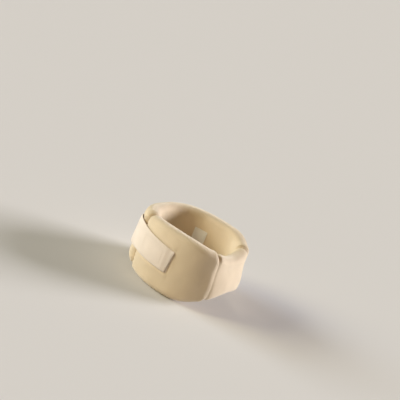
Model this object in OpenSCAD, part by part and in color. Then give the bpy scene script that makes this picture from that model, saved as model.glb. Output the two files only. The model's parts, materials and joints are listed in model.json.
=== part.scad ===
// Soft foam cervical collar: a contoured foam band in a knit sleeve, closed at the
// right of the back by a hook-and-loop strap. Units are mm and +Z runs up the neck.
// The origin is the middle of the neck opening on the plane that the band rests on.
// The wearer faces -Y and the wearer's right is -X. Angles start at the front and
// grow toward the wearer's right.

/* [Band plan] */
// Outside width of the band, side to side
band_width = 148; // [144:1:152]
// Outside depth of the band, front to back
band_depth = 168; // [164:1:172]
// Squareness of the plan, 2 is an ellipse
plan_power = 2.3; // [2.2:0.05:2.4]
// How far the front corners stand out
corner_push = 3; // [1:0.25:3.5]
// Thickness of the padded band
pad_thickness = 21; // [20:0.5:22]

/* [Band height] */
// Height of the band at the sides
side_height = 99; // [97:1:103]
// How much lower the top edge is at the back
back_drop = 3; // [0:0.5:5]
// How much lower the top edge is under the chin
chin_drop = 16.5; // [12:0.5:18]
// How much the bottom edge rises over the breastbone
chest_rise = 26; // [20:1:28]
// How much the bottom edge rises at the nape
nape_rise = 10; // [6:0.5:11]
// Angle over which the front contour fades out
contour_angle = 70; // [66:1:74]
// How far the chin rest leans back toward the neck at its top
chin_lean = 8; // [4:1:9]

/* [Sleeve and foam] */
// Thickness of the knit sleeve
knit_thickness = 1.2; // [0.8:0.1:1.6]
// Clearance between the sleeve and the foam
foam_clearance = 0.3; // [0.2:0.05:0.6]
// Corner radius of the padded section
edge_radius = 7.5; // [5:0.5:8]
// Length of the rounding at the band's ends
end_rounding = 9; // [6:0.5:10]

/* [Flex lines and closure] */
// Angle of the flex line at each front corner
flex_angle = 31.5; // [29:0.5:33]
// Width of the gap at each flex line
flex_gap = 0.5; // [0.4:0.1:0.8]
// Angle where the right wing ends
right_end_angle = 134; // [133:1:134]
// Angle where the left wing ends, counted the same way
left_end_angle = 137; // [137:1:138]

/* [Strap] */
// Width of the strap at its free end
strap_width = 36; // [34:1:37]
// Width of the strap at its sewn end
strap_wide = 44.5; // [42:0.5:45]
// Height of the strap's lower edge at its free end
strap_bottom = 35.5; // [34:0.5:36]
// How much higher the lower edge is at the sewn end
strap_climb = 3; // [0:0.5:3]
// How far the strap's lower edge falls again behind the right wing
strap_fall = 8.5; // [4:0.5:9]
// Thickness of the strap webbing
strap_thickness = 1.6; // [1.2:0.1:2]
// Angle of the strap's free end
strap_end_angle = 79; // [78:1:80]
// How much farther back the lower corner of the free end lies, as an angle
strap_slant = 3.6; // [0:0.2:4]
// Angle of the line where the free tip bends
tip_angle = 89; // [88:1:90]
// Angle of the line where the strap peels away
peel_angle = 149; // [148:1:150]
// Angle of the strap's sewn end
strap_sewn_angle = 190; // [188:1:194]
// Thickness of the hook tape and of the loop tape
tape_thickness = 1.1; // [0.8:0.1:1.2]

/* [Care label] */
// Width of the blank label
label_width = 24; // [18:1:30]
// Height of the blank label
label_height = 34; // [24:1:40]

/* [Hidden] */

knit_colour = [0.89, 0.81, 0.68];
foam_colour = [0.93, 0.88, 0.72];
strap_colour = [0.92, 0.86, 0.80];
tape_colour = [0.86, 0.80, 0.73];
thread_colour = [0.95, 0.91, 0.85];

band_step = 4;
strap_step = 2;
corner_steps = 5;
wall_steps = 2;
wall_dish = 0.05;
corner_fade = 14;
end_steps = 5;
run_on = 2;
lay_gap = 0.06;
grip_gap = 0.35;
lean_start = 35;
lean_rise = 35;
lean_angle = 62;
fall_start = 128;
fall_angle = 36;
thread_lift = 0.15;
thread_width = 0.6;
thread_depth = 0.3;
stitch_length = 2.6;
stitch_pitch = 4;
edge_margin = 1.6;
label_thickness = 0.4;
label_angle = -112;
label_bottom = 38;
seam_width = 5;
seam_depth = 1;
mean_radius = (band_width + band_depth) / 4;
foam_inset = knit_thickness + foam_clearance;
loop_outer = lay_gap + tape_thickness;
hook_inner = loop_outer + grip_gap;
strap_inner = hook_inner + tape_thickness + lay_gap;
strap_outer = strap_inner + strap_thickness;

// Angle for a length along the band's outside.
function turn(length) = length / mean_radius * 180 / PI;
function fold(t) = abs(t) > 180 ? 360 - abs(t) : abs(t);
function ease(x) = let(c = min(1, max(0, x))) c * c * (3 - 2 * c);
function swell(a, reach) = a < reach ? (1 + cos(180 * a / reach)) / 2 : 0;
function superellipse(t) =
    pow(pow(abs(sin(t)) / (band_width / 2), plan_power)
        + pow(abs(cos(t)) / (band_depth / 2), plan_power), -1 / plan_power);
function radius(t) =
    superellipse(t) + corner_push * exp(-abs(fold(t) - flex_angle) / corner_fade);
// How far the outside turns from square to the line through the centre.
function tilt(t) = atan2((radius(t + 1) - radius(t - 1)) * 90 / PI, radius(t));
function band_bottom(t) = chest_rise * swell(fold(t), contour_angle)
                          + nape_rise * swell(180 - fold(t), 90);
function band_top(t) = side_height - chin_drop * swell(fold(t), contour_angle)
                       - back_drop * swell(180 - fold(t), 90);
// Edges of the strap, which widens from its free end to where it peels.
function strap_run(t) = min(1, max(0, (t - strap_end_angle) / (peel_angle - strap_end_angle)));
function strap_drop(t) = strap_fall * ease((t - fall_start) / fall_angle);
function strap_low(t) = strap_bottom + strap_climb * strap_run(t) - strap_drop(t);
function strap_high(t) = strap_low(t) + strap_width + (strap_wide - strap_width) * strap_run(t)
                         + strap_drop(t) / 2;
function spot(t, r, z) = [-sin(t) * r, -cos(t) * r, z];

// How far the padded band leans inward at a height, which it does under the chin only.
function lean(t, z) =
    chin_lean * swell(fold(t), lean_angle) * ease((z - lean_start) / lean_rise);

// Rounded section in the radial plane at angle t, with points along its tall sides,
// which are dished by a hair so that no three points of a section lie in line.
function arc_points(centre, r, start) =
    [for (k = [0:corner_steps])
        let(a = start + 90 * k / corner_steps) centre + r * [cos(a), sin(a)]];
function wall_points(r, from, to) =
    [for (k = [1:wall_steps]) [r, from + (to - from) * k / (wall_steps + 1)]];
function round_section(t, r_in, r_out, z_low, z_high, r_corner) =
    let(low = z_low + r_corner,
        high = z_high - r_corner,
        points = concat(arc_points([r_out - r_corner, high], r_corner, 0),
                        arc_points([r_in + r_corner, high], r_corner, 90),
                        wall_points(r_in + wall_dish, high, low),
                        arc_points([r_in + r_corner, low], r_corner, 180),
                        arc_points([r_out - r_corner, low], r_corner, 270),
                        wall_points(r_out - wall_dish, low, high)))
    [for (p = points) spot(t, p[0] - lean(t, p[1]), p[1])];
function flat_section(t, r_in, r_out, z_low, z_high, slant = 0) =
    [spot(t, r_out, z_high), spot(t, r_in, z_high),
     spot(t + slant, r_in, z_low), spot(t + slant, r_out, z_low)];
function pad_section(t, inset, pinch) =
    let(r_out = radius(t) - inset - pinch,
        r_in = radius(t) - pad_thickness + inset + pinch,
        r_corner = min(edge_radius - inset, (r_out - r_in) / 2 - 0.2))
    round_section(t, r_in, r_out, band_bottom(t) + inset + pinch,
                  band_top(t) - inset - pinch, r_corner);

// Even angles from a to b, with no step over the given one.
function angles(a, b, step) =
    let(n = max(1, ceil(abs(b - a) / step))) [for (i = [0:n]) a + (b - a) * i / n];

// Sections of a wing from its flex line to its rounded end.
function wing_sections(start, finish, inset) =
    let(way = finish > start ? 1 : -1,
        last = finish - way * turn(inset),
        straight = last - way * turn(end_rounding))
    concat([for (t = angles(start, straight, band_step)) pad_section(t, inset, 0)],
           [for (k = [1:end_steps])
               let(a = 78 * k / end_steps)
               pad_section(last - way * turn(end_rounding * (1 - sin(a))), inset,
                           (end_rounding - 1) * (1 - cos(a)))]);

// Closed solid through a list of sections with equal point counts.
module loft(sections, flip = false) {
    m = len(sections[0]);
    n = len(sections);
    sides = [for (i = [0:n - 2]) for (j = [0:m - 1])
                let(a = i * m + j, b = i * m + (j + 1) % m) each
                [[a, b, b + m], [a, b + m, a + m]]];
    caps = [[for (j = [m - 1:-1:0]) j], [for (j = [0:m - 1]) (n - 1) * m + j]];
    faces = concat(sides, caps);
    polyhedron(points = [for (s = sections) each s],
               faces = flip ? faces : [for (f = faces) [for (k = [len(f) - 1:-1:0]) f[k]]],
               convexity = 6);
}

// Curved strip between two angles, at offsets from the band's outside and inside the
// strap's edges by the margin.
module strip(a, b, low, high, margin) {
    loft([for (t = angles(a, b, strap_step))
             flat_section(t, radius(t) + low, radius(t) + high,
                          strap_low(t) + margin, strap_high(t) - margin)]);
}

// One flat stitch on the surface; lean turns it from level toward upright.
module stitch(t, offset, z, lean = 0) {
    translate(spot(t, radius(t) + offset + thread_lift + thread_depth / 2, z))
        rotate([0, 0, tilt(t) - t])
            rotate([0, lean, 0])
                cube([stitch_length, thread_depth, thread_width], center = true);
}

// Line of stitches between two points given as [angle, height].
module stitch_line(from, to, offset, lean) {
    run = norm([(to[0] - from[0]) * PI / 180 * mean_radius, to[1] - from[1]]);
    n = max(1, floor(run / stitch_pitch));
    for (i = [0:n - 1]) {
        f = (i + 0.5) / n;
        stitch(from[0] + (to[0] - from[0]) * f, offset, from[1] + (to[1] - from[1]) * f, lean);
    }
}

// Box of stitches inside the strap's edges by the margin.
module stitch_box(a, b, margin, offset) {
    stitch_line([a, strap_low(a) + margin], [b, strap_low(b) + margin], offset, 0);
    stitch_line([a, strap_high(a) - margin], [b, strap_high(b) - margin], offset, 0);
    for (t = [a, b])
        stitch_line([t, strap_low(t) + margin + 2], [t, strap_high(t) - margin - 2], offset, 90);
}

module foam_front() {
    color(foam_colour)
        loft([for (t = angles(-flex_angle, flex_angle, band_step)) pad_section(t, foam_inset, 0)]);
}

// Each sleeve's hollow follows the foam's own sections and runs on past the flex line,
// so the clearance holds all the way into the corner.
module cover_front() {
    between = angles(-flex_angle, flex_angle, band_step);
    color(knit_colour)
        difference() {
            loft([for (t = between) pad_section(t, 0, 0)]);
            loft([for (t = concat(-flex_angle - run_on, between, flex_angle + run_on))
                     pad_section(t, knit_thickness, 0)]);
        }
}

module foam_right_wing() {
    color(foam_colour)
        loft(wing_sections(flex_angle + turn(flex_gap), right_end_angle, foam_inset));
}

module cover_right_wing() {
    color(knit_colour)
        difference() {
            loft(wing_sections(flex_angle + turn(flex_gap), right_end_angle, 0));
            loft(concat([pad_section(flex_angle - run_on, knit_thickness, 0)],
                        wing_sections(flex_angle + turn(flex_gap), right_end_angle,
                                      knit_thickness)));
        }
}

module foam_left_wing() {
    color(foam_colour)
        loft(wing_sections(-flex_angle - turn(flex_gap), left_end_angle - 360, foam_inset), true);
}

module cover_left_wing() {
    color(knit_colour)
        difference() {
            loft(wing_sections(-flex_angle - turn(flex_gap), left_end_angle - 360, 0), true);
            loft(concat([pad_section(-flex_angle + run_on, knit_thickness, 0)],
                        wing_sections(-flex_angle - turn(flex_gap), left_end_angle - 360,
                                      knit_thickness)), true);
        }
}

// Flat closing seam that stands on the end of a wing.
module end_seam(t, way) {
    color(thread_colour)
        loft([for (d = [lay_gap, lay_gap + seam_depth])
                 let(a = t + way * turn(d), r = radius(a) - pad_thickness / 2)
                 flat_section(a, r - seam_width / 2, r + seam_width / 2,
                              band_bottom(a) + 12, band_top(a) - 12)], way < 0);
}

module right_end_seam() {
    end_seam(right_end_angle, 1);
}

module left_end_seam() {
    end_seam(left_end_angle, -1);
}

module loop_patch() {
    color(tape_colour)
        strip(strap_end_angle + 1, right_end_angle - 8, lay_gap, loop_outer, 1);
}

module loop_patch_stitching() {
    color(thread_colour)
        stitch_box(strap_end_angle + 3, right_end_angle - 10, 1 + edge_margin, loop_outer);
}

module hook_patch() {
    color(tape_colour)
        strip(tip_angle + 1, right_end_angle - 12, hook_inner, hook_inner + tape_thickness, 4);
}

module strap_tail() {
    color(strap_colour)
        strip(tip_angle, peel_angle, strap_inner, strap_outer, 0);
}

module hook_stitching() {
    color(thread_colour)
        stitch_box(tip_angle + 3, right_end_angle - 14, 4 + edge_margin, strap_outer);
}

// The free end is cut square to the strap, which runs at a slant to the band.
module strap_tip() {
    last = tip_angle - turn(flex_gap);
    color(strap_colour)
        loft([for (t = angles(strap_end_angle, last, strap_step))
                 flat_section(t, radius(t) + strap_inner, radius(t) + strap_outer, strap_low(t),
                              strap_high(t), strap_slant * (last - t) / (last - strap_end_angle))]);
}

module strap_tip_stitching() {
    t = strap_end_angle + 2;
    color(thread_colour)
        stitch_line([t + strap_slant * 0.8, strap_low(t) + 2], [t, strap_high(t) - 2],
                    strap_outer + thread_lift, 90);
}

// The sewn start of the strap steps down from the free part to the sleeve.
module strap_base() {
    color(strap_colour)
        loft([for (t = angles(peel_angle + turn(flex_gap), strap_sewn_angle, strap_step))
                 let(drop = (strap_inner - lay_gap) * ease((t - peel_angle - 2) / 14))
                 flat_section(t, radius(t) + strap_inner - drop, radius(t) + strap_outer - drop,
                              strap_low(t), strap_high(t))]);
}

module strap_base_stitching() {
    a = peel_angle + 19;
    b = strap_sewn_angle - 2;
    low = strap_low(b) + 3;
    high = strap_high(b) - 3;
    offset = lay_gap + strap_thickness;
    slope = atan2(high - low, (b - a) * PI / 180 * mean_radius);
    color(thread_colour) {
        stitch_box(a, b, 3, offset);
        stitch_line([a + 2, low + 2], [b - 2, high - 2], offset, slope);
        stitch_line([a + 2, high - 2], [(a + b) / 2 - 1.5, (low + high) / 2 + 2], offset, -slope);
        stitch_line([(a + b) / 2 + 1.5, (low + high) / 2 - 2], [b - 2, low + 2], offset, -slope);
    }
}

module care_label() {
    half = turn(label_width / 2) * 1.3;
    depth = pad_thickness + lay_gap;
    color(strap_colour)
        loft([for (t = angles(label_angle - half, label_angle + half, strap_step))
                 flat_section(t, radius(t) - depth - label_thickness, radius(t) - depth,
                              label_bottom, label_bottom + label_height)]);
}

module care_label_stitching() {
    half = turn(label_width / 2) * 1.3 - 2;
    depth = pad_thickness + lay_gap + label_thickness + 2 * thread_lift + thread_depth;
    high = label_bottom + label_height - 2;
    color(thread_colour)
        stitch_line([label_angle - half, high], [label_angle + half, high], -depth, 0);
}

foam_front();
cover_front();
foam_right_wing();
cover_right_wing();
right_end_seam();
loop_patch();
loop_patch_stitching();
foam_left_wing();
cover_left_wing();
left_end_seam();
strap_base();
strap_base_stitching();
care_label();
care_label_stitching();
strap_tail();
hook_patch();
hook_stitching();
strap_tip();
strap_tip_stitching();
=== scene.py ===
import json
import math

import bpy
import numpy as np
from mathutils import Matrix, Vector, noise
from mathutils.bvhtree import BVHTree


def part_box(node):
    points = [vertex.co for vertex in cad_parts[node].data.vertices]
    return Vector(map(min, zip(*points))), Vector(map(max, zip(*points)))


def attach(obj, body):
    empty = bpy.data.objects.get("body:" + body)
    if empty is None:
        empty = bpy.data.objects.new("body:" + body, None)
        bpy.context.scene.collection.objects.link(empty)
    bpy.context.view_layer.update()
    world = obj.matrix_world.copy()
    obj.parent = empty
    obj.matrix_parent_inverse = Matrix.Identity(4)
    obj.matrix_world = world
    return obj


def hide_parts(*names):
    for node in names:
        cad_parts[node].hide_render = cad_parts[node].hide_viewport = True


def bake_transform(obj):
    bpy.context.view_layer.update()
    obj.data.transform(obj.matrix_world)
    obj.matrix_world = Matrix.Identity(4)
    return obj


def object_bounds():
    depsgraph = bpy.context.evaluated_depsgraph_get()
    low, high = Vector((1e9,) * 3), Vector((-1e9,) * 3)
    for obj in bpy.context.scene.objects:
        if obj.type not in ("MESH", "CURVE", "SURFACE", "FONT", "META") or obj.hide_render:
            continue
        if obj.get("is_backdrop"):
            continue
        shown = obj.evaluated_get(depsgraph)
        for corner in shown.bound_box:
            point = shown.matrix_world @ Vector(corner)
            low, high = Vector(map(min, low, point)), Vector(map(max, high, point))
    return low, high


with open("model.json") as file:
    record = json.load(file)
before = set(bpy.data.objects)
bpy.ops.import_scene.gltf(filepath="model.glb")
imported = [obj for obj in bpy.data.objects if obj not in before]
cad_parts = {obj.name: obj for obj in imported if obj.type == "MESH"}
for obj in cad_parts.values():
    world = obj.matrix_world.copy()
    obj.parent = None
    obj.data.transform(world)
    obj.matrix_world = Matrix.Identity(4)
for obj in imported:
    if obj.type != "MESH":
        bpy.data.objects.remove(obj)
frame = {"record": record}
cad_low, cad_high = (list(corner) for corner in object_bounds())

# Lengths are in metres. Angles are in degrees from the front toward the wearer's right.
MM = 0.001

# The band
PAD = 21 * MM
EDGE = 9.5 * MM
END_ROLL = 9 * MM
CORNER_PUSH, CORNER_FADE = 3 * MM, 14
PLAN_POWER = 2.3
CHIN_DROP, CHEST_RISE = 16.5 * MM, 26 * MM
BACK_DROP, NAPE_RISE = 3 * MM, 10 * MM
CONTOUR = 70
CHIN_LEAN, LEAN_ANGLE = 8 * MM, 62
LEAN_START, LEAN_RISE = 35 * MM, 35 * MM
RIGHT_END, LEFT_END = 134, -223

# The strap: where it ends, where its two lengths join and where it stands off the band
STRAP_END, STRAP_SEWN = 79, 190
STRAP_JOIN = 117
STAND_OFF = 163
STRAP_THICK = 1.6 * MM
STRAP_OUT = 3.47 * MM
STRAP_WIDTH, STRAP_WIDE, STRAP_CLIMB = 36 * MM, 44.5 * MM, 3 * MM
STRAP_FALL, FALL_START, FALL_ANGLE = 8.5 * MM, 128, 36
STRAP_SLANT = 3.6
SEWN_DROP_START, SEWN_DROP_ANGLE = 2, 14

# Places read from the CAD model
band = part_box("cover_left_wing")
HALF_W, HALF_D = band[1][0], band[1][1]
SIDE_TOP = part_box("cover_right_wing")[1][2]
STRAP_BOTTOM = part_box("strap_tip")[0][2]
MEAN_R = (HALF_W + HALF_D) / 2
pivots = {j["name"]: j["pos_m"] for j in frame["record"]["behaviour"]["joints"]}


def angle_of(point):
    return math.degrees(math.atan2(-point[0], -point[1]))


PEEL = angle_of(pivots["strap_peel"])
TIP = angle_of(pivots["tip_lift"])
FLEX = angle_of(pivots["right_wing_flex"])


# The band's plan and height, by angle from the front toward the wearer's right.
def fold(t):
    """Angle from the front, the same on both sides."""
    a = np.abs(t)
    return np.where(a > 180, 360 - a, a)


def ease(x):
    c = np.clip(x, 0, 1)
    return c * c * (3 - 2 * c)


def swell(a, reach):
    return np.where(a < reach, (1 + np.cos(np.pi * a / reach)) / 2, 0)


def hump(x, width):
    return np.exp(-((x / width) ** 2))


def radius(t):
    s, c = np.abs(np.sin(np.radians(t))), np.abs(np.cos(np.radians(t)))
    plan = ((s / HALF_W) ** PLAN_POWER + (c / HALF_D) ** PLAN_POWER) ** (-1 / PLAN_POWER)
    return plan + CORNER_PUSH * np.exp(-np.abs(fold(t) - FLEX) / CORNER_FADE)


def band_bottom(t):
    return CHEST_RISE * swell(fold(t), CONTOUR) + NAPE_RISE * swell(180 - fold(t), 90)


def band_top(t):
    return SIDE_TOP - CHIN_DROP * swell(fold(t), CONTOUR) - BACK_DROP * swell(180 - fold(t), 90)


def strap_edge(t, side, margin=0.0):
    """Height of the strap's lower (0) or upper (1) edge, less a margin."""
    run = np.clip((t - STRAP_END) / (PEEL - STRAP_END), 0, 1)
    drop = STRAP_FALL * ease((t - FALL_START) / FALL_ANGLE)
    low = STRAP_BOTTOM + STRAP_CLIMB * run - drop
    if side == 0:
        return low + margin
    return low + STRAP_WIDTH + (STRAP_WIDE - STRAP_WIDTH) * run + drop / 2 - margin


def lean(t, z):
    """How far the band leans inward at a height, which it does under the chin only."""
    return CHIN_LEAN * swell(fold(t), LEAN_ANGLE) * ease((z - LEAN_START) / LEAN_RISE)


def spot(t, r, z):
    """Point at an angle, a distance from the middle and a height."""
    a = np.radians(t)
    return np.stack([-np.sin(a) * r, -np.cos(a) * r, z + 0 * r], -1)


def turn(length):
    """Angle that a length takes up along the band."""
    return math.degrees(length / MEAN_R)


# Meshes
def mesh_object(name, verts, faces, material, uvs=None, sharp_faces=(), around=0):
    """Smooth mesh with a weave map. around is the length at which that map's second
    coordinate starts again, so that no face is stretched back over the whole round."""
    mesh = bpy.data.meshes.new(name)
    mesh.from_pydata([tuple(v) for v in verts], [], faces)
    mesh.polygons.foreach_set("use_smooth", [True] * len(mesh.polygons))
    if uvs is not None:
        layer = mesh.uv_layers.new(name="weave")
        loops = np.empty(len(mesh.loops), np.int32)
        mesh.loops.foreach_get("vertex_index", loops)
        places = np.asarray(uvs, np.float32)[loops]
        if around:
            quads = places[: len(places) // 4 * 4, 1].reshape(-1, 4)
            quads += around * (quads < quads.max(1, keepdims=True) - around / 2)
        layer.data.foreach_set("uv", places.ravel())
    if sharp_faces:
        edges = set()
        for f in sharp_faces:
            edges |= set(mesh.polygons[f].edge_keys)
        flags = [tuple(sorted(e.vertices)) in edges for e in mesh.edges]
        attribute = mesh.attributes.new("sharp_edge", "BOOLEAN", "EDGE")
        attribute.data.foreach_set("value", flags)
    mesh.materials.append(material)
    mesh.validate()
    obj = bpy.data.objects.new(name, mesh)
    bpy.context.scene.collection.objects.link(obj)
    return obj


def ring_faces(rings, count, flip):
    faces = []
    for i in range(rings - 1):
        for j in range(count):
            k = (j + 1) % count
            quad = [i * count + j, i * count + k, (i + 1) * count + k, (i + 1) * count + j]
            faces.append(quad[::-1] if flip else quad)
    first = list(range(count))
    last = [(rings - 1) * count + j for j in range(count)]
    faces.append(first if flip else first[::-1])
    faces.append(last[::-1] if flip else last)
    return faces


# Points along the section's sides, ends and corners
SIDE_STEPS, FLAT_STEPS, CORNER_STEPS = 34, 3, 14

# Stations near a crease, and those that turn a wing's rounded end
CREASE_REACH, CREASE_STEP = 4, 0.4
END_STEPS, END_TURN = 12, 86


def unit_section():
    """Points round the section as (side, along, corner angle); see section()."""
    marks = []
    for side in (3, 0, 1, 2):
        steps = SIDE_STEPS if side in (0, 2) else FLAT_STEPS
        marks += [(side, (i + 0.5) / steps, None) for i in range(steps)]
        marks += [(side, 1.0, 90 * i / (CORNER_STEPS - 1)) for i in range(CORNER_STEPS)]
    return marks


MARKS = unit_section()


def section(t, pinch, squeeze):
    """Section at angle t as rows of (r, z, outward r, outward z)."""
    r_out = float(radius(t)) - pinch
    r_in = float(radius(t)) - PAD + pinch
    middle = (r_out + r_in) / 2
    r_out, r_in = middle + (r_out - middle) * squeeze, middle + (r_in - middle) * squeeze
    low, high = float(band_bottom(t)) + pinch, float(band_top(t)) - pinch
    c = min(EDGE, (r_out - r_in) / 2 * 0.97)
    corners = [
        (r_out - c, high - c),
        (r_in + c, high - c),
        (r_in + c, low + c),
        (r_out - c, low + c),
    ]
    rows = []
    for side, along, corner in MARKS:
        (r0, z0), (r1, z1) = corners[side - 1], corners[side]
        out = math.radians(90 * side)
        if corner is not None:
            a = out + math.radians(corner)
            rows.append((r1 + c * math.cos(a), z1 + c * math.sin(a), math.cos(a), math.sin(a)))
        else:
            n = (math.cos(out), math.sin(out))
            r, z = r0 + (r1 - r0) * along, z0 + (z1 - z0) * along
            rows.append((r + c * n[0], z + c * n[1], *n))
    return rows


def corner_crease(t, g, up, down, outer, inner):
    """Folds at each front corner, in millimetres, a little deeper on the right. g runs 0 to 1
    up the band, and the last four say how much a point faces each way."""
    k = fold(t) - FLEX
    # Notches in both rims, with a ridge on each side of the upper one
    d = -3.2 * hump(k + 0.6, 2.2) * up
    d += 1.4 * (hump(k - 4.5, 3.2) + 0.5 * hump(k + 6, 4)) * up
    d -= 2.2 * hump(k + 0.6, 2.4) * down
    # The groove down the outside, deeper at the rims, with a low ridge behind it
    rims = hump(1 - g, 0.16) + 0.4 * hump(g, 0.12)
    d -= outer * (0.75 * hump(k + 0.8, 2.2) + hump(k + 0.8, 1.3) * rims)
    d += 0.3 * hump(k - 3.6, 2.6) * outer
    # Gathers near the top
    pleats = np.cos(2 * np.pi * (k - 0.5) / 2.1) * hump(k - 0.8, 2.8) * hump(1 - g, 0.15)
    d += 0.55 * pleats * np.clip(outer + up, 0, 1)
    # Three folds down the inside
    for shift, depth in ((-6, 1.0), (-0.5, 1.7), (5, 1.1)):
        d -= depth * hump(k - shift, 1.5) * inner
    return np.where(t > 0, 1.0, 0.8) * d


def soft_shape(t, z, nr, nz, end_distance):
    """How far the sleeve stands out of the plain section, in metres."""
    low, high = band_bottom(t), band_top(t)
    g = (z - low) / (high - low)
    face = 1 - (2 * np.clip(g, 0, 1) - 1) ** 2
    outer, inner = np.clip(nr, 0, 1), np.clip(-nr, 0, 1)
    up, down = np.clip(nz, 0, 1), np.clip(-nz, 0, 1)
    around = np.where(t < -90, t + 360, t)
    under = ease((around - STRAP_END + 2) / 4) * ease((STRAP_SEWN + 1 - around) / 4)
    lower, upper = strap_edge(around, 0), strap_edge(around, 1)
    across = ease((z - lower + 2 * MM) / (4 * MM)) * ease((upper + 2 * MM - z) / (4 * MM))
    lips = hump(z - lower + 4 * MM, 4 * MM) + hump(z - upper - 4 * MM, 4 * MM)
    # Millimetres from here: the crown, the lips beside the strap and the bulge below it
    d = 1.2 * face * outer * (1 - under * across) + 0.8 * under * lips * outer + face * inner
    d += 3.0 * outer * hump(around - STAND_OFF, 24) * hump(z - lower + 12 * MM, 9 * MM)
    d += corner_crease(t, g, up, down, outer, inner)
    # All of it fades out at a wing's end
    d *= ease(end_distance / (10 * MM))
    return d * MM


def ripple(points, normals, size, height, seed):
    """Adds a smooth unevenness of the given size and height."""
    shift = Vector((seed * 7.3, seed * 3.1, seed * 1.7))
    lift = [noise.noise(Vector(p) / size + shift) for p in points]
    return points + normals * (np.array(lift) * height)[:, None]


def band_half(name, end, material):
    """From the front centre to a wing's rounded end. A station is an angle, how far the
    section pinches in there and how much of its thickness is left."""
    way = 1 if end > 0 else -1
    stop = abs(end) - turn(END_ROLL)
    fine = np.arange(FLEX - CREASE_REACH, FLEX + CREASE_REACH + 0.01, CREASE_STEP)
    clear = CREASE_REACH + CREASE_STEP
    coarse = [a for a in np.linspace(0, stop, round(stop)) if abs(a - FLEX) > clear]
    stations = [(a, 0.0, 1.0) for a in sorted([*coarse, *fine])]
    for i in range(1, END_STEPS + 1):
        a = math.radians(END_TURN * i / END_STEPS)
        place = abs(end) - turn(END_ROLL * (1 - math.sin(a)))
        stations.append((place, END_ROLL * (1 - math.cos(a)), 1.0))
    place, pinch, _ = stations[-1]
    stations += [(place, pinch, squeeze) for squeeze in (0.72, 0.45, 0.2)]
    rows, ts, ends = [], [], []
    for a, pinch, squeeze in stations:
        rows.append(section(way * a, pinch, squeeze))
        ts.append(way * a)
        ends.append((abs(end) - a) * math.radians(1) * MEAN_R)
    data = np.array(rows)
    t = np.repeat(np.array(ts, float), len(MARKS))
    far = np.repeat(np.array(ends), len(MARKS))
    r, z, nr, nz = (data[:, :, i].ravel() for i in range(4))
    pucker = 0.45 * MM * hump(far - 6 * MM, 5 * MM) * np.sin(z / (1.1 * MM)) * np.abs(nr)
    push = soft_shape(t, z, nr, nz, far) + pucker
    base = spot(t, r + nr * push - lean(t, z), z + nz * push)
    normal = spot(t, nr, nz)
    # Uneven everywhere except underneath, where the band stands
    loose = normal * (1 - np.clip(-nz, 0, 1))[:, None]
    base = ripple(base, loose, 38 * MM, 0.7 * MM, 1)
    base = ripple(base, loose, 13 * MM, 0.25 * MM, 2)
    base[:, 2] = np.maximum(base[:, 2], cad_low[2])
    rim = np.zeros(len(MARKS))
    steps = np.linalg.norm(np.diff(data[0][:, :2], axis=0), axis=1)
    rim[1:] = np.cumsum(steps)
    lengths = np.repeat(np.radians(ts) * MEAN_R, len(MARKS))
    uvs = np.stack([lengths, np.tile(rim, len(stations))], -1)
    faces = ring_faces(len(stations), len(MARKS), way > 0)
    front_cap = len(faces) - 2
    return mesh_object(name, base, faces, material, uvs, [front_cap], rim[-1] + steps[0])


# Materials
class Surface:
    """A matte material, and the nodes that give it colour, relief and roughness."""

    def __init__(self, name, colour, roughness, sheen=0.0):
        self.material = bpy.data.materials.new(name)
        self.material.use_nodes = True
        self.nodes, self.links = self.material.node_tree.nodes, self.material.node_tree.links
        self.colour = colour
        self.bsdf = self.nodes["Principled BSDF"]
        self.bsdf.inputs["Base Color"].default_value = (*colour, 1)
        self.bsdf.inputs["Roughness"].default_value = roughness
        self.bsdf.inputs["Specular IOR Level"].default_value = 0.25
        self.bsdf.inputs["Sheen Weight"].default_value = sheen
        self.bsdf.inputs["Sheen Roughness"].default_value = 0.5

    def math(self, kind, a, b=None):
        node = self.nodes.new("ShaderNodeMath")
        node.operation = kind
        for i, value in enumerate((a, b)):
            if isinstance(value, (int, float)):
                node.inputs[i].default_value = value
            elif value is not None:
                self.links.new(value, node.inputs[i])
        return node.outputs[0]

    def weave_uv(self):
        uv = self.nodes.new("ShaderNodeUVMap")
        uv.uv_map = "weave"
        parts = self.nodes.new("ShaderNodeSeparateXYZ")
        self.links.new(uv.outputs[0], parts.inputs[0])
        return uv.outputs[0], parts.outputs[0], parts.outputs[1]

    def noise(self, vector, size, detail=3):
        node = self.nodes.new("ShaderNodeTexNoise")
        node.inputs["Scale"].default_value = 1 / size
        node.inputs["Detail"].default_value = detail
        self.links.new(vector, node.inputs["Vector"])
        return node.outputs["Fac"]

    def tint(self, factor, dark, light):
        ramp = self.nodes.new("ShaderNodeValToRGB")
        ramp.color_ramp.elements[0].color = (*[c * dark for c in self.colour], 1)
        ramp.color_ramp.elements[1].color = (*[min(1, c * light) for c in self.colour], 1)
        self.links.new(factor, ramp.inputs[0])
        self.links.new(ramp.outputs[0], self.bsdf.inputs["Base Color"])

    def bump(self, height, distance, strength, before=None):
        node = self.nodes.new("ShaderNodeBump")
        node.inputs["Distance"].default_value = distance
        node.inputs["Strength"].default_value = strength
        self.links.new(height, node.inputs["Height"])
        if before is not None:
            self.links.new(before, node.inputs["Normal"])
        self.links.new(node.outputs[0], self.bsdf.inputs["Normal"])
        return node.outputs[0]

    def rough(self, factor, low, high):
        value = self.math("ADD", self.math("MULTIPLY", factor, high - low), low)
        self.links.new(value, self.bsdf.inputs["Roughness"])


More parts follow.
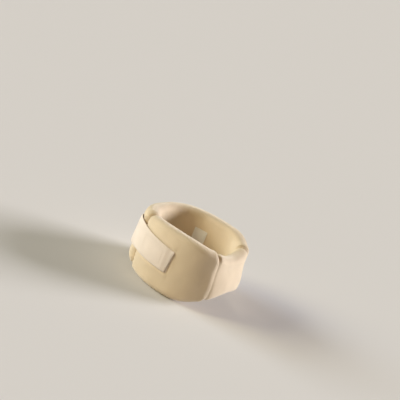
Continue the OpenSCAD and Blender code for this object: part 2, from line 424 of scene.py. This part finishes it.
def knit_material():
    """Stockinette: columns of small V stitches that run round the band."""
    cloth = Surface("knit", (0.76, 0.63, 0.45), 0.9, 0.35)
    m = cloth.math
    uv, u, v = cloth.weave_uv()
    wobble = m("MULTIPLY", m("SUBTRACT", cloth.noise(uv, 9 * MM), 0.5), 0.8)
    column = m("ADD", m("DIVIDE", v, 1.7 * MM), wobble)
    side = m("ABSOLUTE", m("SUBTRACT", m("FRACT", column), 0.5))
    off_leg = m("MULTIPLY", m("ABSOLUTE", m("SUBTRACT", side, 0.25)), 4)
    leg = m("SUBTRACT", 1, m("POWER", off_leg, 2))
    run = m("ADD", m("DIVIDE", u, 1.25 * MM), m("MULTIPLY", side, 1.6))
    loop = m("MULTIPLY", m("ABSOLUTE", m("SUBTRACT", m("FRACT", run), 0.5)), 2)
    stitch = m("MULTIPLY", leg, m("SUBTRACT", 1, m("MULTIPLY", m("POWER", loop, 2), 0.6)))
    fuzz = cloth.noise(uv, 0.5 * MM, 4)
    cloud = cloth.noise(uv, 22 * MM, 4)
    pattern = m("MULTIPLY", stitch, 0.38)
    unevenness = m("ADD", m("MULTIPLY", fuzz, 0.22), m("MULTIPLY", cloud, 0.4))
    cloth.tint(m("ADD", pattern, unevenness), 0.72, 1.16)
    relief = cloth.bump(stitch, 0.35 * MM, 0.55)
    cloth.bump(fuzz, 0.2 * MM, 0.35, relief)
    cloth.rough(fuzz, 0.82, 0.98)
    return cloth.material


def tape_material(name, colour, pitch, cross, sheen):
    """Flat woven tape with ribs across it."""
    tape = Surface(name, colour, 0.8, sheen)
    m = tape.math
    uv, u, v = tape.weave_uv()
    ribs = m("SINE", m("MULTIPLY", u, 2 * math.pi / pitch))
    picks = m("SINE", m("ADD", m("MULTIPLY", v, 2 * math.pi / cross), m("MULTIPLY", ribs, 0.8)))
    weave = m("ADD", m("MULTIPLY", m("MULTIPLY", ribs, picks), 0.5), 0.5)
    fuzz, cloud = tape.noise(uv, 0.6 * MM, 4), tape.noise(uv, 15 * MM, 3)
    pattern = m("MULTIPLY", weave, 0.3)
    unevenness = m("ADD", m("MULTIPLY", fuzz, 0.3), m("MULTIPLY", cloud, 0.4))
    tape.tint(m("ADD", pattern, unevenness), 0.76, 1.15)
    relief = tape.bump(weave, 0.2 * MM, 0.4)
    tape.bump(fuzz, 0.2 * MM, 0.3, relief)
    tape.rough(fuzz, 0.7, 0.92)
    return tape.material


KNIT = knit_material()
WEBBING = tape_material("webbing", (0.83, 0.73, 0.64), 1.1 * MM, 0.7 * MM, 0.3)
HOOK = tape_material("hook_tape", (0.70, 0.61, 0.50), 1.4 * MM, 1.4 * MM, 0.0)
LOOP = tape_material("loop_tape", (0.74, 0.65, 0.53), 0.9 * MM, 1.1 * MM, 0.6)
THREAD = tape_material("thread", (0.76, 0.68, 0.58), 0.6 * MM, 0.4 * MM, 0.1)
LABEL = tape_material("label", (0.88, 0.87, 0.83), 0.5 * MM, 0.5 * MM, 0.0)


# Straps and patches that lie on the band
def strap_lift(t, v):
    """Offset of the strap's middle layer from the band's outside; v runs 0 to 1 across."""
    # Behind the peel line the strap settles onto the band, where it is sewn
    settled = ease((t - PEEL - SEWN_DROP_START) / SEWN_DROP_ANGLE)
    sewn = 2.55 * MM * settled
    edges = np.abs(2 * v - 1) ** 7
    cup = 0.9 * MM * edges * (1 - settled)
    tip = 0.9 * MM * ease((TIP - t) / 6)
    curl = 0.5 * MM * ease((STRAP_END + 2.5 - t) / 2.5) * edges
    flare = 3.5 * MM * hump(t - STAND_OFF, 15) * (1 - v)
    return STRAP_OUT - sewn - cup - tip + curl + flare


def lay_strip(name, a, b, edges, lift, thick, material, across=28, cut_first=False, cut_last=False,
              slant=None):
    """Thin closed band between two angles. edges gives its lower and upper heights at an
    angle, lift its middle's offset, and slant how far back its lower edge lies there. An end
    is rounded unless it is cut, where another length carries on. A station is an angle, how
    much of the thickness is left and how far the edges draw in."""
    count = max(2, round(b - a))
    stations = [(t, 1.0, 0.0) for t in np.linspace(a, b, count + 1)]
    near, far = turn(thick * 0.2), turn(thick * 0.35)
    if not cut_first:
        stations = [(a - far, 0.35, 0.3), (a - near, 0.75, 0.1)] + stations
    if not cut_last:
        stations += [(b + near, 0.75, 0.1), (b + far, 0.35, 0.3)]
    profile = [(i / across, 1.0) for i in range(1, across)]
    edge = [(1.0, 0.55), (1.004, 0.0), (1.0, -0.55)]
    back = [(i / across, -1.0) for i in range(across - 1, 0, -1)]
    edge_low = [(0.0, -0.55), (-0.004, 0.0), (0.0, 0.55)]
    ring = profile + edge + back + edge_low
    verts, uvs = [], []
    for t, slim, draw in stations:
        low, high = edges(t)
        width = high - low
        for v, side in ring:
            vv = v + draw * (0.5 - v) * thick / width
            here = t + (slant(t) * (1 - vv) if slant else 0)
            offset = float(lift(here, np.clip(vv, 0, 1))) + side * slim * thick / 2
            verts.append(spot(here, radius(here) + offset, low + vv * width))
            uvs.append((math.radians(t) * MEAN_R, vv * width))
    faces = ring_faces(len(stations), len(ring), True)
    sharp = ([len(faces) - 2] if cut_first else []) + ([len(faces) - 1] if cut_last else [])
    return mesh_object(name, verts, faces, material, uvs, sharp)


def stitches(name, places, material, length=2.6 * MM, width=0.55 * MM):
    """Threads that come out of the cloth, lie on it and go back in. Each place is its middle
    point, the way it runs and the way out of the cloth."""
    verts, faces, uvs = [], [], []
    rings, sides = 7, 6
    rise, sink = 0.45 * MM, 0.25 * MM
    for point, along, out in places:
        along, out = np.array(along, float), np.array(out, float)
        along /= np.linalg.norm(along)
        out -= along * (out @ along)
        out /= np.linalg.norm(out)
        cross = np.cross(along, out)
        start = len(verts)
        for i in range(rings):
            f = i / (rings - 1) * 2 - 1
            arc = rise * (1 - f**4) - sink
            centre = np.array(point) + along * (f * length / 2) + out * arc
            thick = width / 2 * (1 - 0.35 * f**4)
            for j in range(sides):
                a = 2 * math.pi * j / sides + 0.5 * i
                verts.append(centre + (cross * math.cos(a) + out * math.sin(a) * 0.8) * thick)
                uvs.append((f * length / 2, j * width / 2))
        for i in range(rings - 1):
            for j in range(sides):
                k = (j + 1) % sides
                p, q = start + i * sides, start + (i + 1) * sides
                faces.append([p + j, q + j, q + k, p + k])
        faces.append([start + j for j in range(sides)])
        faces.append([start + (rings - 1) * sides + j for j in range(sides)][::-1])
    return mesh_object(name, verts, faces, material, uvs)


def seam_line(a, b, lift, pitch=4 * MM):
    """Places for a line of stitches between two points (angle, height) on a surface."""
    run = math.hypot(math.radians(b[0] - a[0]) * MEAN_R, b[1] - a[1])
    count = max(1, int(run / pitch))
    step = 0.02
    places = []
    for i in range(count):
        f = (i + 0.5) / count
        t, z = a[0] + (b[0] - a[0]) * f, a[1] + (b[1] - a[1]) * f
        here = spot(t, radius(t) + lift(t, z), z)
        ahead_t, ahead_z = t + (b[0] - a[0]) * step, z + (b[1] - a[1]) * step
        ahead = spot(ahead_t, radius(ahead_t) + lift(ahead_t, ahead_z), ahead_z)
        places.append((here, ahead - here, spot(t, 1.0, 0.0)))
    return places


def corner(t, side, margin):
    """Point (angle, height) inside the strap's lower (0) or upper (1) edge."""
    return (t, float(strap_edge(t, side, margin)))


def seam_box(a, b, margin, lift):
    """Box of stitches inside the strap's edges by the margin."""
    return (
        seam_line(corner(a, 0, margin), corner(b, 0, margin), lift)
        + seam_line(corner(a, 1, margin), corner(b, 1, margin), lift)
        + seam_line(corner(a, 0, margin + 2 * MM), corner(a, 1, margin + 2 * MM), lift)
        + seam_line(corner(b, 0, margin + 2 * MM), corner(b, 1, margin + 2 * MM), lift)
    )


def inset(margin):
    """The strap's two edges less a margin, as a function of the angle."""
    return lambda t: (float(strap_edge(t, 0, margin)), float(strap_edge(t, 1, margin)))


def on_strap(t, z):
    """Offset of the strap's outer face from the band's outside."""
    low, high = strap_edge(t, 0), strap_edge(t, 1)
    return strap_lift(t, np.clip((z - low) / (high - low), 0, 1)) + STRAP_THICK / 2


def declare(obj, material_slot, *nodes):
    if nodes:
        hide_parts(*nodes)


# The padded band, in two halves.
for name, end, body, nodes in (
    ("band_right_half", RIGHT_END, "right_wing",
     ("cover_front", "cover_right_wing", "foam_right_wing")),
    ("band_left_half", LEFT_END, "left_wing",
     ("cover_left_wing", "foam_left_wing", "foam_front")),
):
    half = band_half(name, end, KNIT)
    declare(half, "knit", *nodes)
    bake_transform(half)

# The strap, in two lengths that meet over the hook tape
def end_slant(t):
    """How far back the lower edge lies, so that the free end is square to the rising strap."""
    return STRAP_SLANT * float(np.clip((TIP - t) / (TIP - STRAP_END), 0, 1.05))


back_part = lay_strip("strap_back_length", STRAP_JOIN, STRAP_SEWN, inset(0), strap_lift,
                      STRAP_THICK, WEBBING, cut_first=True)
front_part = lay_strip("strap_front_length", STRAP_END, STRAP_JOIN, inset(0), strap_lift,
                       STRAP_THICK, WEBBING, cut_last=True, slant=end_slant)
declare(back_part, "webbing", "strap_base", "strap_tail")
declare(front_part, "webbing", "strap_tip")
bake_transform(back_part)
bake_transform(front_part)

# Hook tape behind the strap, with its rows of hooks
HOOK_IN = 2.0 * MM
hook_a, hook_b = TIP + 1, RIGHT_END - 12
hook_tape = lay_strip("hook_tape", hook_a, hook_b, inset(4 * MM),
                      lambda t, v: HOOK_IN + 0.3 * MM, 0.5 * MM, HOOK)
declare(hook_tape, "hook_tape", "hook_patch")
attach(hook_tape, "strap")


# One hook's rings, as depth, sideways shift and half thickness in millimetres
HOOK_RINGS = ((0, 0, 0.22), (0.32, 0, 0.16), (0.5, 0.14, 0.13), (0.42, 0.3, 0.08))


def hook_rows():
    """Small hooks that stand inward from the tape, every other row half a pitch up."""
    verts, faces, uvs = [], [], []
    pitch, sides = 1.7 * MM, 4
    for i, t in enumerate(np.arange(hook_a + 1, hook_b - 0.5, turn(pitch))):
        low, high = inset(5 * MM)(t)
        for z in np.arange(low + (i % 2) * pitch / 2, high, pitch):
            foot = float(radius(t)) + HOOK_IN + 0.1 * MM
            start = len(verts)
            for drop, shift, thick in HOOK_RINGS:
                for j in range(sides):
                    a = 2 * math.pi / sides * j
                    tt = t + turn((shift + thick * math.cos(a)) * MM)
                    verts.append(spot(tt, foot - drop * MM, z + thick * math.sin(a) * MM))
                    uvs.append((shift * MM, j * 0.1 * MM))
            for p in range(start, len(verts) - sides, sides):
                for j in range(sides):
                    k = (j + 1) % sides
                    faces.append([p + j, p + k, p + sides + k, p + sides + j])
            faces.append(list(range(len(verts) - sides, len(verts))))
            faces.append(list(range(start, start + sides))[::-1])
    return mesh_object("hook_rows", verts, faces, HOOK, uvs)


hooks = hook_rows()
declare(hooks, "hook_tape")
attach(hooks, "strap")
hook_seam = seam_box(hook_a + 2, hook_b - 2, 5.6 * MM, on_strap)
hook_thread = stitches("hook_stitching_rows", hook_seam, THREAD)
declare(hook_thread, "thread", "hook_stitching")
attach(hook_thread, "strap")
tip_seam = seam_line(corner(STRAP_END + 2 + STRAP_SLANT * 0.8, 0, 2 * MM),
                     corner(STRAP_END + 2, 1, 2 * MM), on_strap)
tip_thread = stitches("tip_stitching_row", tip_seam, THREAD)
declare(tip_thread, "thread", "strap_tip_stitching")
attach(tip_thread, "tip")

# Loop tape on the right wing
loop_a, loop_b = STRAP_END + 1, RIGHT_END - 8


def loop_lift(t, v):
    nap = noise.noise(Vector((t * 1.9, v * 31, 0))) * 0.12 * MM
    return 0.6 * MM + nap


loop_tape = lay_strip("loop_tape", loop_a, loop_b, inset(1 * MM), loop_lift, 0.9 * MM, LOOP,
                      across=44)
declare(loop_tape, "loop_tape", "loop_patch")
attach(loop_tape, "right_wing")
loop_seam = seam_box(loop_a + 2, loop_b - 2, 2.6 * MM, lambda t, z: 1.0 * MM)
loop_thread = stitches("loop_stitching_rows", loop_seam, THREAD)
declare(loop_thread, "thread", "loop_patch_stitching")
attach(loop_thread, "right_wing")

# Box and cross stitches through the strap's sewn end
base_a, base_b = PEEL + 19, STRAP_SEWN - 2
base_seam = (
    seam_box(base_a, base_b, 3 * MM, on_strap)
    + seam_line(corner(base_a + 2, 0, 5 * MM), corner(base_b - 2, 1, 5 * MM), on_strap)
    + seam_line(corner(base_a + 2, 1, 5 * MM), corner(base_b - 2, 0, 5 * MM), on_strap)
)
base_thread = stitches("strap_box_stitching", base_seam, THREAD)
declare(base_thread, "thread", "strap_base_stitching")
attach(base_thread, "left_wing")


# Closing seams down the middle of both ends
def end_seam(name, end, way, body, node):
    """A puckered roll of knit with stitches over it, standing on a wing's end."""
    short, roll, pucker = 10 * MM, 1.3 * MM, 0.55 * MM
    low, high = float(band_bottom(end)) + short, float(band_top(end)) - short
    middle = float(radius(end)) - PAD / 2
    rings, sides = 60, 10
    verts, uvs = [], []
    for i in range(rings):
        f = i / (rings - 1)
        z = low + (high - low) * f
        taper = min(1, 6 * f + 0.3, 6 * (1 - f) + 0.3)
        thick = roll * taper * (1 + 0.12 * math.sin(z / pucker))
        sway = 0.3 * MM * math.sin(z / (5 * MM))
        for j in range(sides):
            a = 2 * math.pi * j / sides
            t = end + way * turn(0.1 * MM + thick * 0.7 * (1 + math.cos(a)) / 2)
            verts.append(spot(t, middle + sway + thick * 1.5 * math.sin(a), z))
            uvs.append((z, a * thick))
    faces = ring_faces(rings, sides, way > 0)
    seam = mesh_object(name, verts, faces, KNIT, uvs)
    declare(seam, "knit", node)
    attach(seam, body)
    places = []
    pitch, slope = 3.2 * MM, 0.35
    a = math.radians(end)
    out = -way * np.array([math.cos(a), -math.sin(a), 0.0])
    for i in range(int((high - low) / pitch)):
        z = low + 1.5 * MM + i * pitch
        point = spot(end + way * turn(1.0 * MM), middle, z)
        places.append((point, spot(end, 1.0, slope), out))
    thread = stitches(name + "_thread", places, THREAD, length=4.6 * MM, width=0.5 * MM)
    declare(thread, "thread")
    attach(thread, body)


end_seam("right_end_closing", RIGHT_END, 1, "right_wing", "right_end_seam")
end_seam("left_end_closing", LEFT_END, -1, "left_wing", "left_end_seam")

# Blank care label inside the left side, where a length turns further than at the mean radius
LABEL_AT, LABEL_TURN = -112, 1.3
label_half = turn(12 * MM) * LABEL_TURN
label_low, label_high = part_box("care_label")[0][2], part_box("care_label")[1][2]
left_mesh = bpy.data.objects["band_left_half"].data
left_wall = BVHTree.FromPolygons([v.co for v in left_mesh.vertices],
                                 [tuple(f.vertices) for f in left_mesh.polygons])


def label_lift(t, v):
    """Offset of the label's middle layer, which lies on the band's inside and curls off below."""
    z = label_low + float(v) * (label_high - label_low)
    distance = left_wall.ray_cast(Vector((0, 0, z)), Vector(spot(t, 1.0, 0.0)))[3]
    curl = 0.6 * MM * (1 - v) ** 2 * (1 + 0.5 * np.sin((t - LABEL_AT) * 0.35))
    return distance - float(radius(t)) - 0.35 * MM - curl


def on_label(t, z):
    return label_lift(t, (z - label_low) / (label_high - label_low)) - 0.2 * MM


label = lay_strip("blank_label", LABEL_AT - label_half, LABEL_AT + label_half,
                  lambda t: (label_low, label_high), label_lift, 0.35 * MM, LABEL, across=20)
declare(label, "label", "care_label")
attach(label, "left_wing")
label_places = [
    (p, along, -np.array(out))
    for p, along, out in seam_line((LABEL_AT - label_half + 2, label_high - 2 * MM),
                                   (LABEL_AT + label_half - 2, label_high - 2 * MM),
                                   on_label)
]
label_thread = stitches("label_stitching_row", label_places, THREAD)
declare(label_thread, "thread", "care_label_stitching")
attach(label_thread, "left_wing")

# Floor, light and camera
ground = Surface("floor", (0.67, 0.66, 0.65), 1.0)
ground.bsdf.inputs["Specular IOR Level"].default_value = 0
bpy.ops.mesh.primitive_plane_add(size=60, location=(0, 0, cad_low[2]))
floor = bpy.context.object
floor.name = "floor"
floor.data.materials.append(ground.material)
floor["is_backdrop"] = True


def soft_sun(name, direction, strength, colour, spread=25):
    """Sun that shines from a direction, with a spread in degrees that softens its shadows."""
    light = bpy.data.lights.new(name, "SUN")
    light.energy, light.color, light.angle = strength, colour, math.radians(spread)
    obj = bpy.data.objects.new(name, light)
    obj.rotation_euler = Vector(direction).to_track_quat("Z", "Y").to_euler()
    bpy.context.scene.collection.objects.link(obj)


soft_sun("front_light", (0.78, -0.68, 0.31), 4.8, (1.0, 0.97, 1.0))
soft_sun("side_light", (-0.62, 0.78, 0.47), 2.0, (1.0, 0.93, 0.66))
soft_sun("back_light", (-0.3, 1.0, 0.35), 2.0, (0.82, 0.90, 1.0))
soft_sun("near_light", (-0.95, -0.2, 0.5), 0.38, (1.0, 0.62, 0.28), 60)

# The world fills the shade softly, and shows the camera a plain backdrop like the floor.
world = bpy.data.worlds.new("studio")
world.use_nodes = True
nodes, links = world.node_tree.nodes, world.node_tree.links
fill, backdrop = nodes["Background"], nodes.new("ShaderNodeBackground")
fill.inputs[0].default_value, fill.inputs[1].default_value = (1.0, 0.85, 0.65, 1), 0.06
backdrop.inputs[0].default_value = (0.665, 0.624, 0.568, 1)
seen, either = nodes.new("ShaderNodeLightPath"), nodes.new("ShaderNodeMixShader")
links.new(seen.outputs["Is Camera Ray"], either.inputs[0])
links.new(fill.outputs[0], either.inputs[1])
links.new(backdrop.outputs[0], either.inputs[2])
links.new(either.outputs[0], nodes["World Output"].inputs[0])
bpy.context.scene.world = world
bpy.context.scene.view_settings.view_transform = "Standard"

# The camera looks near a point below the top of the sides, turned aside by the two aim slopes.
LOOK_DROP = 53.3 * MM
AZIMUTH, ELEVATION, ROLL = -64.0, 22.1, 22.8
DISTANCE, LENS, SENSOR = 1.314, 77.58, 36
AIM_RIGHT, AIM_UP = 0.01334, 0.06427
a, e, roll = math.radians(AZIMUTH), math.radians(ELEVATION), math.radians(ROLL)
back = Vector((math.sin(a) * math.cos(e), -math.cos(a) * math.cos(e), math.sin(e)))
right = Vector((math.cos(a), math.sin(a), 0))
up = back.cross(right)
cos_roll, sin_roll = math.cos(roll), math.sin(roll)
right, up = right * cos_roll + up * sin_roll, up * cos_roll - right * sin_roll
forward = (right * AIM_RIGHT + up * AIM_UP - back).normalized()
camera_data = bpy.data.cameras.new("camera")
camera_data.sensor_width, camera_data.lens = SENSOR, LENS
camera = bpy.data.objects.new("camera", camera_data)
camera.location = Vector((0, 0, SIDE_TOP - LOOK_DROP)) + back * DISTANCE
side = (right - forward * right.dot(forward)).normalized()
top = side.cross(forward)
camera.rotation_mode = "QUATERNION"
camera.rotation_quaternion = Matrix((side, top, -forward)).transposed().to_quaternion()
bpy.context.scene.collection.objects.link(camera)
bpy.context.scene.camera = camera
